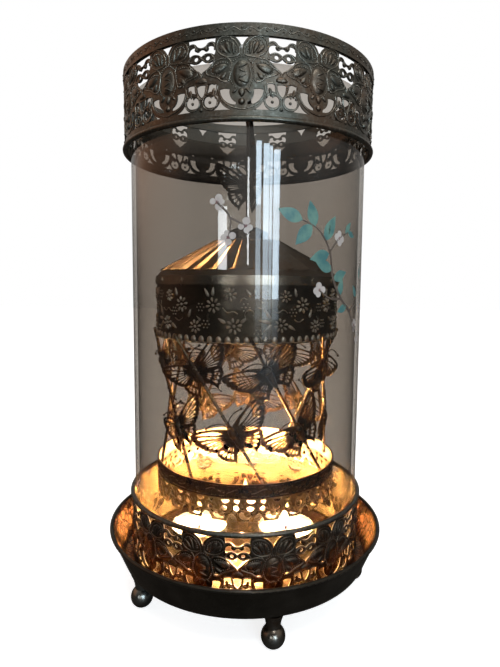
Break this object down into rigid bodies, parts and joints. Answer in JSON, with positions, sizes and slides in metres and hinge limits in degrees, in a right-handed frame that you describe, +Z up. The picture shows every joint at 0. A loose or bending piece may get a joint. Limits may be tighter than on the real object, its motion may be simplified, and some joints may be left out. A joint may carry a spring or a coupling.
{
  "type": "rotating motion lamp",
  "caption": "Tealight carousel lamp: round tray on ball feet, pierced gallery and crown, glass cylinder, and a hanging butterfly rotor that warm air turns.",
  "frame": {"origin": "on the table, in the middle of the lamp's plan box", "axes": "+Z up along the rotor's axis, -Y to the front, +X to the right"},
  "size_m": [0.184, 0.184, 0.3318],
  "materials": {
    "antique_bronze": "antique bronze, worn",
    "tray_metal": "dark bronze outside, coppery inside",
    "rotor_metal": "dark pewter bronze",
    "black_metal": "blackened metal",
    "clear_glass": "clear",
    "bearing_brass": "turned",
    "pivot_steel": "brushed",
    "cup_aluminium": "bright",
    "candle_wax": "satin",
    "candle_wick": "charred cotton"
  },
  "bodies": {
    "base": {"tray": "tray_metal", "ball_feet": "antique_bronze", "gallery_band": "antique_bronze", "gallery_roll": "antique_bronze"},
    "glass": {"glass_cylinder": "clear_glass"},
    "crown": {"crown_band": "antique_bronze", "crown_hem": "antique_bronze", "crown_roll": "antique_bronze", "crown_bridge": "antique_bronze", "crown_lugs": "antique_bronze", "crown_rivets": "antique_bronze", "bearing_bush": "bearing_brass"},
    "rotor": {"hanger_rod": "black_metal", "pivot_collar": "pivot_steel", "rod_butterfly": "black_metal", "hub_cap": "black_metal", "hub_nut": "pivot_steel", "vane_roof": "rotor_metal", "drum_shell": "rotor_metal", "drum_rim": "rotor_metal", "stay_wires": "rotor_metal", "rotor_ring": "rotor_metal", "ring_fringe": "rotor_metal", "butterfly_01": "black_metal", "butterfly_02": "black_metal", "butterfly_03": "black_metal", "butterfly_04": "black_metal", "butterfly_05": "black_metal", "butterfly_06": "black_metal", "butterfly_07": "black_metal", "butterfly_08": "black_metal", "butterfly_09": "black_metal", "butterfly_10": "black_metal", "butterfly_11": "black_metal", "butterfly_12": "black_metal", "butterfly_13": "black_metal", "butterfly_14": "black_metal", "butterfly_15": "black_metal", "butterfly_16": "black_metal"},
    "tealight_1": {"tealight_cup_1": "cup_aluminium", "tealight_wax_1": "candle_wax", "tealight_wick_1": "candle_wick", "tealight_wick_base_1": "cup_aluminium"},
    "tealight_2": {"tealight_cup_2": "cup_aluminium", "tealight_wax_2": "candle_wax", "tealight_wick_2": "candle_wick", "tealight_wick_base_2": "cup_aluminium"},
    "tealight_3": {"tealight_cup_3": "cup_aluminium", "tealight_wax_3": "candle_wax", "tealight_wick_3": "candle_wick", "tealight_wick_base_3": "cup_aluminium"}
  },
  "joints": [
    {"name": "glass_lift", "type": "slide", "parent": "base", "child": "glass", "axis": [0, 0, 1], "range_m": [0, 0.06]},
    {"name": "crown_lift", "type": "slide", "parent": "glass", "child": "crown", "axis": [0, 0, 1], "range_m": [0, 0.26]},
    {"name": "rotor_spin", "type": "hinge", "parent": "crown", "child": "rotor", "pos_m": [0, 0, 0.3181], "axis": [0, 0, 1], "continuous": true},
    {"name": "tealight_lift_1", "type": "slide", "parent": "base", "child": "tealight_1", "axis": [0, 0, 1], "range_m": [0, 0.048]},
    {"name": "tealight_lift_2", "type": "slide", "parent": "base", "child": "tealight_2", "axis": [0, 0, 1], "range_m": [0, 0.048]},
    {"name": "tealight_lift_3", "type": "slide", "parent": "base", "child": "tealight_3", "axis": [0, 0, 1], "range_m": [0, 0.048]}
  ]
}
